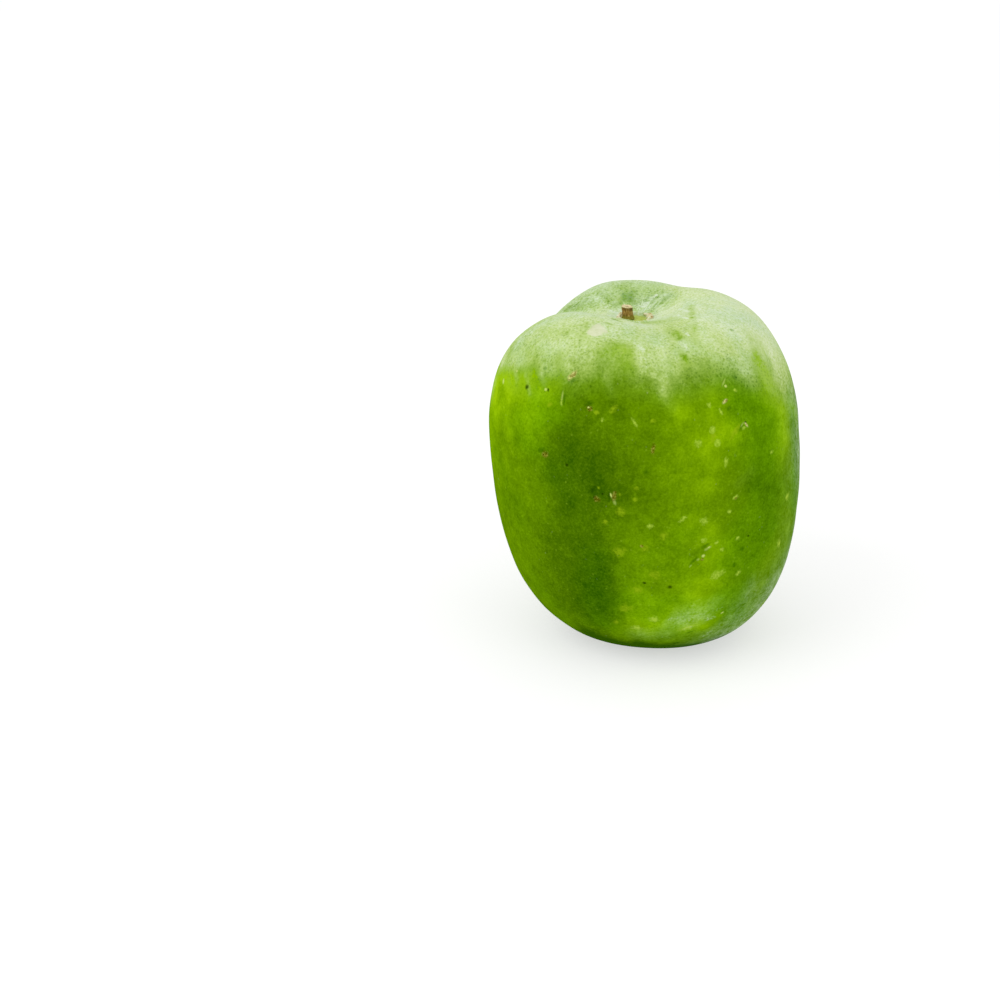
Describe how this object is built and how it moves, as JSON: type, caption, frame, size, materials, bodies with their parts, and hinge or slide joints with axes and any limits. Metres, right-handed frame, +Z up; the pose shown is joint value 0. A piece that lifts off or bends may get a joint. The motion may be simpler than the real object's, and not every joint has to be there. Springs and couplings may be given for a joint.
{
  "type": "ash gourd",
  "caption": "Whole barrel-shaped ash gourd with soft lobes, a stem hollow with a dry ribbed stem stub in a corky socket, and a flat spot to stand on.",
  "frame": {"origin": "middle of the bounding box in X and Y, on the surface that the gourd stands on", "axes": "+Z up from the flat spot to the stem, -Y towards the front, where the fuller side with the shallow groove is, +X to the right seen from the front"},
  "size_m": [0.217, 0.2228, 0.2414],
  "materials": {
    "skin": "waxy green rind, semi-gloss below, with a pale matt bloom over the top and shoulders",
    "stem": "dry, matt, fibrous brown stalk with a pale cut top"
  },
  "bodies": {
    "root": {"gourd_fruit": "skin", "stem_stub": "stem"}
  },
  "joints": []
}
